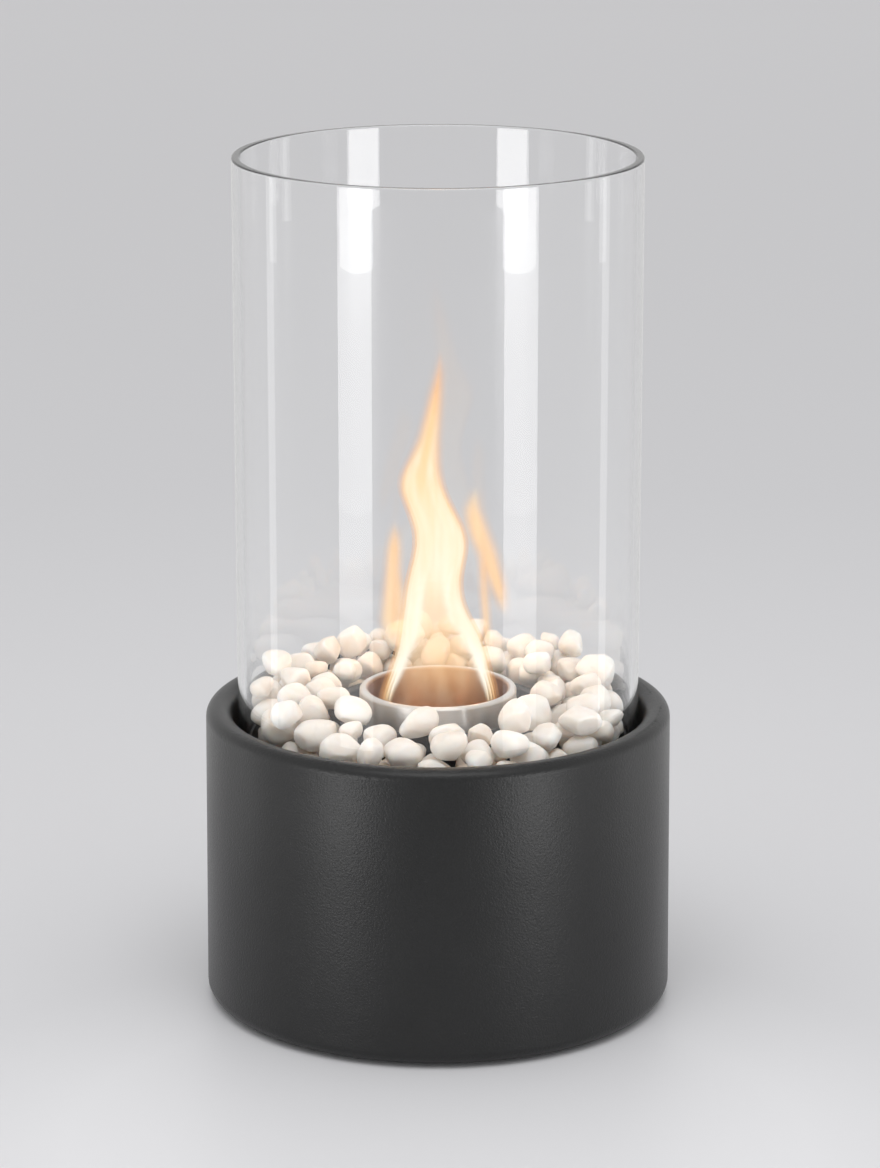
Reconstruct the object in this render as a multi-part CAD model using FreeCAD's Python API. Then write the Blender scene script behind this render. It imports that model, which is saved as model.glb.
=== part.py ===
import FreeCAD, Part
import math
import os
import random

# A tabletop fireplace: a spun steel base with a broad rolled lip, a glass tube standing in the lip's
# opening, and inside it a ring of pebbles round a small steel burner that is filled with liquid fuel.
# Lengths are millimetres and angles degrees. Z is up, and the origin is on the table under the base's middle.

# Glass tube
GLASS_RADIUS = 75.0
GLASS_WALL = 3.0
GLASS_LENGTH = 222.5
GLASS_EDGE_ROUND = 1.2
GLASS_SINK = 15.5  # how far the glass stands below the top of the lip
GLASS_GAP = 2.0  # between the glass and the lip round it
GASKET_THICKNESS = 1.5
GASKET_OVERLAP = 1.2  # how far the gasket shows outside the glass
GASKET_TRAY_GAP = 0.4
GASKET_BEVEL = 0.4

# Base shell
BASE_HEIGHT = 113.0
BASE_FLARE = 0.7  # how much further out the wall stands at the foot than at the lip
SHELL_SHEET = 1.5
SHELL_LIFT = 1.2  # underside of the shell above the table
LIP_INNER_ROUND = 5.0
LIP_FLAT = 1.0
LIP_OUTER_ROUND = 4.0
LIP_SKIRT = 8.0  # straight part of the lip that hangs down round the glass
FOOT_ROUND = 4.8
FOOT_TREAD = 5.0  # flat of the foot between its round edge and the plate's recess

# Bottom plate and feet
PLATE_SHEET = 1.5
PLATE_RECESS = 0.3
PLATE_CLEARANCE = 0.4
FLANGE_WIDTH = 12.0
FOOT_COUNT = 4
FOOT_RADIUS = 8.0
FOOT_INSET = 20.0  # middle of a foot from the edge of the plate's recess
FOOT_BEVEL = 0.4
FOOT_FIRST_ANGLE = 45.0

# Screws
SCREW_COUNT = 4
SCREW_RADIUS = 2.0
SCREW_HEAD_RADIUS = 3.6
SCREW_HEAD_HEIGHT = 1.0
SCREW_HEAD_ROUND = 0.6
SCREW_SLOT_WIDTH = 0.9
SCREW_SLOT_DEPTH = 0.5
SCREW_END = 3.0  # how far a screw reaches past the last sheet it holds
SCREW_CLEARANCE = 0.1

# Seat ring and brackets
SEAT_SHEET = 2.0
SEAT_WIDTH = 26.0
SEAT_CLEARANCE = 0.6
BRACKET_COUNT = 4
BRACKET_SHEET = 2.0
BRACKET_DROP = 18.0
BRACKET_REACH = 25.0
BRACKET_ARC = 12.0
BRACKET_BEND = 3.0
BRACKET_CLEARANCE = 0.2
BRACKET_FIRST_ANGLE = 45.0

# Pebble tray
TRAY_SHEET = 1.0
TRAY_GAP = 0.8  # between the tray and the glass round it
TRAY_UPSTAND = 5.0
TRAY_BEND = 1.5
COLLAR_HEIGHT = 16.0  # from the tray's floor to the top of the well's lip

# Burner well
WELL_SHEET = 1.0
WELL_CLEARANCE = 0.3  # between the well's rolled lip and the tray's collar inside it
WELL_LIP_DROP = 0.8
LEDGE_DEPTH = 7.0
LEDGE_WIDTH = 7.5
LEDGE_BEND = 2.0
WELL_FLOOR_BEND = 4.0
POT_CLEARANCE = 0.7  # between the well's lower part and the burner
PAD_THICKNESS = 3.0
PAD_BEVEL = 0.5

# Burner
BURNER_RADIUS = 29.5
BURNER_HEIGHT = 54.5
BURNER_RISE = 6.5  # rim of the burner above the lip of the well
BURNER_SHEET = 0.8
RIM_WIDTH = 3.4
RIM_ROUND = 1.1
SKIRT_DEPTH = 19.5  # inner wall of the burner, from its rim
CUP_CLEARANCE = 0.1
CUP_LAP = 11.0  # how far the fuel cup reaches up round the inner wall
CUP_BEND = 3.0
FLOOR_SHEET = 1.0
CLIP_WIRE = 1.6
CLIP_GAP_ANGLE = 30.0
GRILLE_SHEET = 1.0
GRILLE_HOLE_RADIUS = 1.9
GRILLE_HOLE_PITCH = 5.6
GRILLE_MARGIN = 2.2
GRILLE_ROW_ANGLE = 60.0

# Pebbles
PEBBLE_LENGTH = 13.8
PEBBLE_COVER_SHARE = 3.1  # pebbles in the bed, for each square of a pebble's length
PEBBLE_SIZE_SHARES = (0.75, 1.3)  # smallest and largest pebble
PEBBLE_BREADTH_SHARES = (0.78, 0.98)
PEBBLE_THICKNESS_SHARES = (0.56, 0.76)
PEBBLE_DEGREE = 2
PEBBLE_ROUND_POLES = 12
# Reach and height of each row of the surface's poles.
PEBBLE_ROW_SHARES = ((0.0, -1.0), (0.72, -1.0), (1.1, -0.35), (1.1, 0.35), (0.72, 1.0), (0.0, 1.0))
PEBBLE_FLAT_COUNTS = (3, 4, 4, 5)
PEBBLE_FLAT_SHARES = (0.5, 0.95)
PEBBLE_JITTER_SHARE = 0.5
PEBBLE_SLOPE_SHARE = 0.2
PEBBLE_LEAN_SHARE = 0.4
PEBBLE_WRAP_SHARE = 0.2
PEBBLE_CLEARANCE = 0.05
PEBBLE_GLASS_CLEARANCE = 0.4
PEBBLE_BURNER_GAP = 5.0  # room left round the burner; pebbles may overhang the well's lip by the rest
PEBBLE_TILT = 40.0
PEBBLE_SEED = 5
PEBBLE_STARTS = 24
SETTLE_STEPS = (8, 4, 2, 1)  # cells that a settling pebble moves at a time
GRID_SHARE = 0.036  # cell of the height grid, as a share of a pebble's length
SAMPLES_PER_CELL = 2
BED_FRONT = 6.5  # finished height of the bed's last stones above the tray's floor
BED_BACK = 19.5

CUT_OVERRUN = 1.0
POINT_TOLERANCE = 1e-6

Vector = FreeCAD.Vector
ORIGIN = Vector(0, 0, 0)
UP = Vector(0, 0, 1)
FULL_TURN = 360.0

# Places worked out from the sizes above
glass_bore = GLASS_RADIUS - GLASS_WALL
lip_bore = GLASS_RADIUS + GLASS_GAP
base_radius = lip_bore + LIP_INNER_ROUND + LIP_FLAT + LIP_OUTER_ROUND
foot_edge_radius = base_radius + BASE_FLARE
wall_bore = base_radius - SHELL_SHEET
recess_radius = foot_edge_radius - FOOT_ROUND - FOOT_TREAD
flange_bore = recess_radius - FLANGE_WIDTH
plate_screw_radius = (recess_radius + flange_bore) / 2
screw_hole_radius = SCREW_RADIUS + SCREW_CLEARANCE
foot_pitch_radius = recess_radius - FOOT_INSET

plate_bottom = SHELL_LIFT + PLATE_RECESS
plate_top = plate_bottom + PLATE_SHEET
glass_bottom = BASE_HEIGHT - GLASS_SINK
seat_top = glass_bottom - GASKET_THICKNESS
bracket_top = seat_top - SEAT_SHEET
tray_floor = seat_top + TRAY_SHEET
well_lip = tray_floor + COLLAR_HEIGHT
ledge_top = well_lip - LEDGE_DEPTH
burner_rim = well_lip + BURNER_RISE
burner_bottom = burner_rim - BURNER_HEIGHT
well_floor = burner_bottom - PAD_THICKNESS

pot_bore = BURNER_RADIUS + POT_CLEARANCE
well_bore = pot_bore + LEDGE_WIDTH
collar_bore = well_bore + WELL_SHEET + WELL_CLEARANCE
collar_radius = collar_bore + TRAY_SHEET
well_lip_radius = collar_radius + WELL_CLEARANCE + WELL_SHEET
well_lip_round = (well_lip_radius - well_bore) / 2
tray_radius = glass_bore - TRAY_GAP
tray_bore = tray_radius - TRAY_SHEET
seat_radius = wall_bore - SEAT_CLEARANCE
seat_bore = seat_radius - SEAT_WIDTH
bracket_radius = wall_bore - BRACKET_CLEARANCE
tray_screw_radius = (seat_bore + tray_bore - TRAY_BEND) / 2

bed_radius = glass_bore - PEBBLE_GLASS_CLEARANCE
bed_bore = BURNER_RADIUS + PEBBLE_BURNER_GAP
bed_area = math.pi * (glass_bore ** 2 - well_lip_radius ** 2)
pebble_count = round(PEBBLE_COVER_SHARE * bed_area / PEBBLE_LENGTH ** 2)

rim_bore = BURNER_RADIUS - RIM_WIDTH
skirt_bottom = burner_rim - SKIRT_DEPTH
cup_bore = rim_bore + BURNER_SHEET + CUP_CLEARANCE
cup_floor = burner_bottom + FLOOR_SHEET + BURNER_SHEET
grille_top = skirt_bottom - CLIP_WIRE
grille_radius = cup_bore - CUP_CLEARANCE


def rounded_path(corners):
    """A wire of lines and arcs through corners given as (radius, height, round)."""
    points = [Vector(radius, 0, height) for radius, height, _ in corners]
    start = points[0]
    edges = []
    for before, corner, after, (_, _, bend) in zip(points, points[1:], points[2:], corners[1:]):
        inward = (corner - before).normalize()
        outward = (after - corner).normalize()
        half_turn = inward.getAngle(outward) / 2
        setback = bend * math.tan(half_turn)
        first = corner - inward * setback
        last = corner + outward * setback
        if not first.isEqual(start, POINT_TOLERANCE):
            edges.append(Part.LineSegment(start, first).toShape())
        if bend > 0:
            to_middle = bend / math.cos(half_turn) - bend
            middle = corner + (outward - inward).normalize() * to_middle
            edges.append(Part.Arc(first, middle, last).toShape())
        start = last
    edges.append(Part.LineSegment(start, points[-1]).toShape())
    return Part.Wire(edges)


def spun(corners, sheet):
    """Sheet metal spun about the axis. The sheet lies to the right of the path along one of its faces."""
    strip = rounded_path(corners).makeOffset2D(-sheet, 0, True, True, False)
    return strip.revolve(ORIGIN, UP, FULL_TURN)


def ring(inner, outer, bottom, top, bevel=0.0):
    """A plain ring or disc, with its outer edges bevelled if asked."""
    corners = [(inner, bottom), (outer - bevel, bottom), (outer, bottom + bevel),
               (outer, top - bevel), (outer - bevel, top), (inner, top)]
    points = [Vector(radius, 0, height) for radius, height in corners]
    if bevel == 0:
        points = [points[0], points[1], points[4], points[5]]
    return Part.Face(Part.makePolygon(points + points[:1])).revolve(ORIGIN, UP, FULL_TURN)


def around(shape, count, first_angle):
    """Copies of a shape placed at equal angles round the axis."""
    copies = []
    for index in range(count):
        copy = shape.copy()
        copy.rotate(ORIGIN, UP, first_angle + index * FULL_TURN / count)
        copies.append(copy)
    return copies


def hole_pins(radius, pitch_radius, bottom, top, first_angle):
    """The cylinders that cut one circle of screw holes through sheets between two heights."""
    height = top - bottom + 2 * CUT_OVERRUN
    pin = Part.makeCylinder(radius, height, Vector(pitch_radius, 0, bottom - CUT_OVERRUN))
    return around(pin, SCREW_COUNT, first_angle)


def screw(grip):
    """A slotted screw with its head above the origin and its shank below, through the given grip."""
    head = Part.makeCylinder(SCREW_HEAD_RADIUS, SCREW_HEAD_HEIGHT)
    upper_edges = [edge for edge in head.Edges if edge.BoundBox.ZMin > SCREW_HEAD_HEIGHT / 2]
    head = head.makeFillet(SCREW_HEAD_ROUND, upper_edges)
    shank = Part.makeCylinder(SCREW_RADIUS, grip + SCREW_END, ORIGIN, -UP)
    slot_length = 2 * (SCREW_HEAD_RADIUS + CUT_OVERRUN)
    corner = Vector(-slot_length / 2, -SCREW_SLOT_WIDTH / 2, SCREW_HEAD_HEIGHT - SCREW_SLOT_DEPTH)
    slot = Part.makeBox(slot_length, SCREW_SLOT_WIDTH, SCREW_SLOT_DEPTH + CUT_OVERRUN, corner)
    return head.fuse(shank).removeSplitter().cut(slot)


def base_shell():
    """The lip rolls in to a skirt round the glass; the foot turns in to a flange for the bottom plate."""
    shell = spun([
        (lip_bore, BASE_HEIGHT - LIP_INNER_ROUND - LIP_SKIRT, 0),
        (lip_bore, BASE_HEIGHT, LIP_INNER_ROUND),
        (base_radius, BASE_HEIGHT, LIP_OUTER_ROUND),
        (foot_edge_radius, SHELL_LIFT, FOOT_ROUND),
        (recess_radius, SHELL_LIFT, 0),
        (recess_radius, plate_top, 0),
        (flange_bore, plate_top, 0),
    ], SHELL_SHEET)
    holes = hole_pins(screw_hole_radius, plate_screw_radius, plate_top, plate_top + SHELL_SHEET, 0)
    return shell.cut(holes)


def bottom_plate():
    plate = ring(0, recess_radius - PLATE_CLEARANCE, plate_bottom, plate_top)
    return plate.cut(hole_pins(screw_hole_radius, plate_screw_radius, plate_bottom, plate_top, 0))


def plate_screws():
    one = screw(PLATE_SHEET + SHELL_SHEET)
    one.rotate(ORIGIN, Vector(1, 0, 0), FULL_TURN / 2)
    one.translate(Vector(plate_screw_radius, 0, plate_bottom))
    return around(one, SCREW_COUNT, 0)


def feet():
    pad = ring(0, FOOT_RADIUS, 0, plate_bottom, FOOT_BEVEL)
    pad.translate(Vector(foot_pitch_radius, 0, 0))
    return around(pad, FOOT_COUNT, FOOT_FIRST_ANGLE)


def seat_ring():
    plate = ring(seat_bore, seat_radius, bracket_top, seat_top)
    pins = hole_pins(screw_hole_radius, tray_screw_radius, bracket_top, seat_top, BRACKET_FIRST_ANGLE)
    return plate.cut(pins)


def brackets():
    """Angles curved to the shell's wall, one leg on the wall and one under the seat ring."""
    path = rounded_path([
        (bracket_radius - BRACKET_REACH, bracket_top, 0),
        (bracket_radius, bracket_top, BRACKET_BEND),
        (bracket_radius, bracket_top - BRACKET_DROP, 0),
    ])
    profile = path.makeOffset2D(-BRACKET_SHEET, 0, True, True, False)
    angle = profile.revolve(ORIGIN, UP, BRACKET_ARC)
    angle.rotate(ORIGIN, UP, -BRACKET_ARC / 2)
    pin_bottom = bracket_top - BRACKET_SHEET
    pins = hole_pins(screw_hole_radius, tray_screw_radius, pin_bottom, bracket_top, 0)
    return around(angle.cut(pins), BRACKET_COUNT, BRACKET_FIRST_ANGLE)


def glass_gasket():
    inner = tray_radius + GASKET_TRAY_GAP
    outer = GLASS_RADIUS + GASKET_OVERLAP
    return ring(inner, outer, seat_top, glass_bottom, GASKET_BEVEL)


def glass_cylinder():
    tube = ring(glass_bore, GLASS_RADIUS, glass_bottom, glass_bottom + GLASS_LENGTH)
    return tube.makeFillet(GLASS_EDGE_ROUND, [edge for edge in tube.Edges if len(edge.Vertexes) == 1])


def pebble_tray():
    collar_top = well_lip - well_lip_round
    tray = spun([
        (collar_radius, collar_top, 0),
        (collar_radius, tray_floor, TRAY_BEND),
        (tray_bore, tray_floor, TRAY_BEND),
        (tray_bore, tray_floor + TRAY_UPSTAND, 0),
    ], TRAY_SHEET)
    pins = hole_pins(screw_hole_radius, tray_screw_radius, seat_top, tray_floor, BRACKET_FIRST_ANGLE)
    return tray.cut(pins)


def tray_screws():
    one = screw(TRAY_SHEET + SEAT_SHEET + BRACKET_SHEET)
    one.translate(Vector(tray_screw_radius, 0, tray_floor))
    return around(one, SCREW_COUNT, BRACKET_FIRST_ANGLE)


def burner_well():
    """The lip hooks over the tray's collar; a ledge steps in to the pot that the burner stands in."""
    return spun([
        (0, well_floor, 0),
        (pot_bore, well_floor, WELL_FLOOR_BEND),
        (pot_bore, ledge_top, LEDGE_BEND),
        (well_bore, ledge_top, LEDGE_BEND),
        (well_bore, well_lip, well_lip_round),
        (well_lip_radius, well_lip, well_lip_round),
        (well_lip_radius, well_lip - well_lip_round - WELL_LIP_DROP, 0),
    ], WELL_SHEET)


def well_pad():
    return ring(0, pot_bore - WELL_FLOOR_BEND, well_floor, burner_bottom, PAD_BEVEL)


def burner_sleeve():
    """Outer wall, rounded rim and inner wall of the burner, in one drawn sheet."""
    return spun([
        (rim_bore, skirt_bottom, 0),
        (rim_bore, burner_rim, RIM_ROUND),
        (BURNER_RADIUS, burner_rim, RIM_ROUND),
        (BURNER_RADIUS, burner_bottom, 0),
    ], BURNER_SHEET)


def burner_floor():
    return ring(0, BURNER_RADIUS - BURNER_SHEET - CUP_CLEARANCE, burner_bottom, burner_bottom + FLOOR_SHEET)


def fuel_cup():
    return spun([
        (0, cup_floor, 0),
        (cup_bore, cup_floor, CUP_BEND),
        (cup_bore, skirt_bottom + CUP_LAP, 0),
    ], BURNER_SHEET)


def wick_pad():
    return ring(0, grille_radius, cup_floor, grille_top - GRILLE_SHEET, CUP_BEND)


def wick_grille():
    """A disc with round holes on a hexagonal pitch."""
    disc = ring(0, grille_radius, grille_top - GRILLE_SHEET, grille_top)
    reach = grille_radius - GRILLE_MARGIN - GRILLE_HOLE_RADIUS
    rows = int(reach / GRILLE_HOLE_PITCH)
    row_pitch = GRILLE_HOLE_PITCH * math.sin(math.radians(GRILLE_ROW_ANGLE))
    pins = []
    for row in range(-rows, rows + 1):
        for column in range(-rows - 1, rows + 2):
            place = Vector((column + row % 2 / 2) * GRILLE_HOLE_PITCH, row * row_pitch, 0)
            if place.Length < reach:
                place.z = grille_top - GRILLE_SHEET - CUT_OVERRUN
                pins.append(Part.makeCylinder(GRILLE_HOLE_RADIUS, GRILLE_SHEET + 2 * CUT_OVERRUN, place))
    return disc.cut(pins)


def grille_clip():
    """A ring of spring wire, open at one place, between the grille and the burner's inner wall."""
    wire_radius = CLIP_WIRE / 2
    centre = Vector(cup_bore - CUP_CLEARANCE - wire_radius, 0, grille_top + wire_radius)
    section = Part.Circle(centre, Vector(0, 1, 0), wire_radius)
    face = Part.Face(Part.Wire(section.toShape()))
    return face.revolve(ORIGIN, UP, FULL_TURN - CLIP_GAP_ANGLE)


def pebble_surface(draw):
    """A closed spline surface: an oval stone with worn flats round it and a leaning flat at each end."""
    length = PEBBLE_LENGTH * draw.uniform(*PEBBLE_SIZE_SHARES)
    breadth = length * draw.uniform(*PEBBLE_BREADTH_SHARES)
    thickness = length * draw.uniform(*PEBBLE_THICKNESS_SHARES)
    flat_count = draw.choice(PEBBLE_FLAT_COUNTS)
    first_angle = draw.uniform(0, math.tau)
    flats = []
    for index in range(flat_count):
        angle = first_angle + math.tau * (index + draw.uniform(0, PEBBLE_JITTER_SHARE)) / flat_count
        slope = draw.uniform(-PEBBLE_SLOPE_SHARE, PEBBLE_SLOPE_SHARE)
        flats.append((angle, draw.uniform(*PEBBLE_FLAT_SHARES), slope))
    leans = [draw.uniform(-PEBBLE_LEAN_SHARE, PEBBLE_LEAN_SHARE) for _ in range(4)]
    poles = []
    for index in range(PEBBLE_ROUND_POLES):
        angle = math.tau * index / PEBBLE_ROUND_POLES
        column = []
        for reach_share, height_share in PEBBLE_ROW_SHARES:
            limit = min((depth + slope * height_share) / max(math.cos(angle - flat_angle), PEBBLE_WRAP_SHARE)
                        for flat_angle, depth, slope in flats)
            reach = reach_share * min(limit, 1)
            x, y = reach * math.cos(angle), reach * math.sin(angle)
            lean_x, lean_y = leans[:2] if height_share < 0 else leans[2:]
            height = height_share * (1 + lean_x * x + lean_y * y)
            column.append(Vector(x * length / 2, y * breadth / 2, height * thickness / 2))
        poles.append(column)
    row_count = len(PEBBLE_ROW_SHARES)
    surface = Part.BSplineSurface()
    end_knots = [PEBBLE_DEGREE + 1]
    inner_knots = [1] * (row_count - PEBBLE_DEGREE - 1)
    surface.buildFromPolesMultsKnots(
        poles, [1] * (PEBBLE_ROUND_POLES + 1), end_knots + inner_knots + end_knots,
        list(range(PEBBLE_ROUND_POLES + 1)), list(range(len(inner_knots) + 2)),
        True, False, PEBBLE_DEGREE, PEBBLE_DEGREE)
    turn = FreeCAD.Rotation(UP, draw.uniform(0, FULL_TURN))
    tilt = FreeCAD.Rotation(Vector(1, 0, 0), draw.uniform(-PEBBLE_TILT, PEBBLE_TILT))
    surface.transform(FreeCAD.Placement(ORIGIN, turn * tilt).toMatrix())
    return surface


class PebbleBed:
    """Pebbles dropped one by one on a grid of heights, each coming to rest in a hollow of those under it."""

    def __init__(self):
        self.cell = PEBBLE_LENGTH * GRID_SHARE
        self.half = int(glass_bore / self.cell) + 2
        self.width = 2 * self.half + 1
        self.margin = self.cell
        self.heights = [self.start_height(x, y) for y in self.ticks() for x in self.ticks()]

    def ticks(self):
        return [index * self.cell for index in range(-self.half, self.half + 1)]

    def start_height(self, x, y):
        """Height of the empty tray, its screws and the well's lip, walled in by the glass and the burner."""
        radius = math.hypot(x, y)
        wall = BASE_HEIGHT + GLASS_LENGTH
        if radius > bed_radius - self.margin or radius < bed_bore + self.margin:
            return wall
        if radius < well_lip_radius + PEBBLE_CLEARANCE + self.margin:
            return well_lip
        if radius > tray_bore - TRAY_BEND - self.margin:
            return tray_floor + TRAY_UPSTAND
        if radius < collar_radius + TRAY_BEND + self.margin:
            return tray_floor + TRAY_BEND
        for index in range(SCREW_COUNT):
            angle = math.radians(BRACKET_FIRST_ANGLE + index * FULL_TURN / SCREW_COUNT)
            off_x = x - tray_screw_radius * math.cos(angle)
            off_y = y - tray_screw_radius * math.sin(angle)
            if math.hypot(off_x, off_y) < SCREW_HEAD_RADIUS + self.margin:
                return tray_floor + SCREW_HEAD_HEIGHT
        return tray_floor

    def finished_height(self, row):
        """Height that the bed should reach in a row of the grid: highest at the back."""
        to_back = (1 + row * self.cell / glass_bore) / 2
        return tray_floor + BED_FRONT + (BED_BACK - BED_FRONT) * to_back

    def footprint(self, surface):
        """Lowest and highest surface in each grid cell under a pebble centred on a grid place."""
        first_u, last_u, first_v, last_v = surface.bounds()
        steps_v = int(SAMPLES_PER_CELL / GRID_SHARE)
        steps_u = 2 * steps_v
        lowest, highest = {}, {}
        for step_v in range(steps_v + 1):
            v = first_v + (last_v - first_v) * step_v / steps_v
            for step_u in range(steps_u):
                point = surface.value(first_u + (last_u - first_u) * step_u / steps_u, v)
                place = round(point.x / self.cell) + round(point.y / self.cell) * self.width
                if point.z < lowest.get(place, math.inf):
                    lowest[place] = point.z
                if point.z > highest.get(place, -math.inf):
                    highest[place] = point.z
        return list(lowest.items()), list(highest.items())

    def rest_height(self, lowest, centre):
        heights = self.heights
        return max(heights[centre + place] - bottom for place, bottom in lowest)

    def settle(self, lowest, column, row, reach):
        """Roll from a start place to the nearest hollow and give its height over the finished bed."""
        best = None
        for step in SETTLE_STEPS:
            moved = True
            while moved:
                moved = False
                for step_x, step_y in ((0, 0), (step, 0), (-step, 0), (0, step), (0, -step)):
                    x, y = column + step_x, row + step_y
                    if max(abs(x), abs(y)) > reach:
                        continue
                    height = self.rest_height(lowest, self.centre(x, y)) - self.finished_height(y)
                    if best is None or height < best[0]:
                        best = (height, x, y)
                        moved = True
                column, row = best[1:]
        return best

    def centre(self, column, row):
        return (row + self.half) * self.width + column + self.half

    def drop(self, surface, draw):
        """Let a pebble settle from several start places and keep the one furthest below the finished bed."""
        lowest, highest = self.footprint(surface)
        pebble_reach = max(abs(place) for place, _ in lowest) // self.width + 2
        reach = self.half - pebble_reach
        middle = (well_bore + glass_bore) / 2 / self.cell
        first_angle = draw.uniform(0, math.tau)
        rests = []
        for start in range(PEBBLE_STARTS):
            angle = first_angle + start * math.tau / PEBBLE_STARTS
            column = round(middle * math.cos(angle))
            row = round(middle * math.sin(angle))
            rests.append(self.settle(lowest, column, row, reach))
        _, column, row = min(rests)
        centre = self.centre(column, row)
        height = self.rest_height(lowest, centre) + PEBBLE_CLEARANCE
        for place, top in highest:
            self.heights[centre + place] = max(self.heights[centre + place], height + top)
        pebble = Part.makeSolid(Part.makeShell([surface.toShape()]))
        pebble.translate(Vector(column * self.cell, row * self.cell, height))
        return pebble


def pebbles():
    draw = random.Random(PEBBLE_SEED)
    bed = PebbleBed()
    return [bed.drop(pebble_surface(draw), draw) for _ in range(pebble_count)]


def export(name, shapes):
    """Write one node, made of one solid or of a group of equal or similar solids."""
    shape = shapes if isinstance(shapes, Part.Shape) else Part.makeCompound(shapes)
    shape.exportStep(os.path.join("parts", name + ".step"))


def main():
    os.makedirs("parts", exist_ok=True)
    single_pieces = (
        base_shell, bottom_plate, plate_screws, seat_ring, glass_gasket, glass_cylinder, pebble_tray,
        tray_screws, burner_well, well_pad, burner_sleeve, burner_floor, fuel_cup, wick_pad, wick_grille,
        grille_clip)
    for piece in single_pieces:
        export(piece.__name__, piece())
    for index, foot in enumerate(feet(), 1):
        export("foot_" + str(index), foot)
    for index, bracket in enumerate(brackets(), 1):
        export("bracket_" + str(index), bracket)
    stones = pebbles()
    third = math.ceil(len(stones) / 3)
    for index, layer in enumerate(("lower", "middle", "upper")):
        export("pebbles_" + layer, stones[index * third:(index + 1) * third])


main()
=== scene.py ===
# %% [markdown]
# # A tabletop fireplace, dressed for its portrait
# A clear glass tube stands in the rim of a grey powder-coated drum. White pebbles hide the tray inside,
# a steel burner stands in the middle of them, and a flame stands in the burner. The solids arrive with
# their places and sizes settled, so this lesson only gives them their surfaces, wears the pebbles,
# lights the flame and sets up a small studio.

import math

import bmesh
import bpy
import numpy as np
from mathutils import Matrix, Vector
from mathutils.bvhtree import BVHTree


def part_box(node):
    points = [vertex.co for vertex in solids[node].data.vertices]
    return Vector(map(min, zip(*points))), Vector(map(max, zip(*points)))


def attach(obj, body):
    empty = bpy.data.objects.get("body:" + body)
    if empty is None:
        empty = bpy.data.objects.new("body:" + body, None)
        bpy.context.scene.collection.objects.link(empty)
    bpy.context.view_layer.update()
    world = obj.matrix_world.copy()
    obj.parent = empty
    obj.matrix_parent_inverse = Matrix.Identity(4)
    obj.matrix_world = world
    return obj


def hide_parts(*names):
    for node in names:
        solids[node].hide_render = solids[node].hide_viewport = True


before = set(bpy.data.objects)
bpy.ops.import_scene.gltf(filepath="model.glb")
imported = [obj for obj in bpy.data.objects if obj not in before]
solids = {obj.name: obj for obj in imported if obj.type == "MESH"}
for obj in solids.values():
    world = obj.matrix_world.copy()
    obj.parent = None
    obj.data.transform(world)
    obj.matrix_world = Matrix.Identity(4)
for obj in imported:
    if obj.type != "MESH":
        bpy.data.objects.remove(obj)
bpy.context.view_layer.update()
MM = 0.001
scene = bpy.context.scene

# %% [markdown]
# ## Camera
# The portrait is taken with a long lens from about a metre and a half, a little above the object, so that
# the tube's top opens into a slim ellipse. A lens is easiest to set from its focal length counted in
# pixels of the picture, because that number comes straight from how fast the ellipses open.

# %% Camera
PICTURE_HEIGHT = 1168
FOCAL_PIXELS = 4125
SENSOR_HEIGHT = 24
CAMERA_PLACE = Vector((0.75, -1485, 556)) * MM
CAMERA_DIP = math.radians(14.97)

lens = bpy.data.cameras.new("portrait_camera")
lens.sensor_fit = "VERTICAL"
lens.sensor_height = SENSOR_HEIGHT
lens.lens = SENSOR_HEIGHT * FOCAL_PIXELS / PICTURE_HEIGHT
camera = bpy.data.objects.new("portrait_camera", lens)
camera.location = CAMERA_PLACE
camera.rotation_euler = (math.pi / 2 - CAMERA_DIP, 0, 0)
scene.collection.objects.link(camera)
scene.camera = camera
print("camera", round(lens.lens, 1), "mm lens,", round(CAMERA_PLACE.length, 2), "m away")

# %% [markdown]
# ## Studio
# Glass shows what stands around it more than it shows itself. Two upright strip lamps to the left and right
# of the camera each draw one bright band down the tube. The camera looks down, so the tube's mirror image
# looks down too: the strips stand beyond the table and reach below its level, so that a band runs the
# whole way down. Each strip is a stack of panels, and the panels that the glass mirrors in front of the
# pebbles are dimmer, so the stones stay clear. Two slimmer strips at the sides draw the thin bands near the
# tube's edges. One soft lamp overhead fills in the rest at a plain level.

# %% Lamps
WATTS_FOR_WHITE = 4  # for each square metre of a lamp's face


def aim(lamp, target):
    lamp.rotation_euler = (Vector(target) - lamp.location).to_track_quat("-Z", "Y").to_euler()


def soft_lamp(name, place, target, width, height, glow):
    """A flat rectangular lamp whose face has the given brightness, where 1 is a white card in plain light."""
    data = bpy.data.lights.new(name, "AREA")
    data.shape = "RECTANGLE"
    data.size = width
    data.size_y = height
    data.energy = WATTS_FOR_WHITE * width * height * glow
    lamp = bpy.data.objects.new(name, data)
    lamp.location = place
    scene.collection.objects.link(lamp)
    aim(lamp, target)
    return lamp


def strip_lamp(name, turn, width, foot, top, glow):
    """An upright strip that faces the tube; turn is its bearing from the camera's side, in degrees."""
    bearing = math.radians(turn)
    middle = (top + foot) / 2
    place = Vector((STRIP_DISTANCE * math.sin(bearing), -STRIP_DISTANCE * math.cos(bearing), middle))
    return soft_lamp(name, place, (0, 0, middle), width, top - foot, glow)


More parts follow.
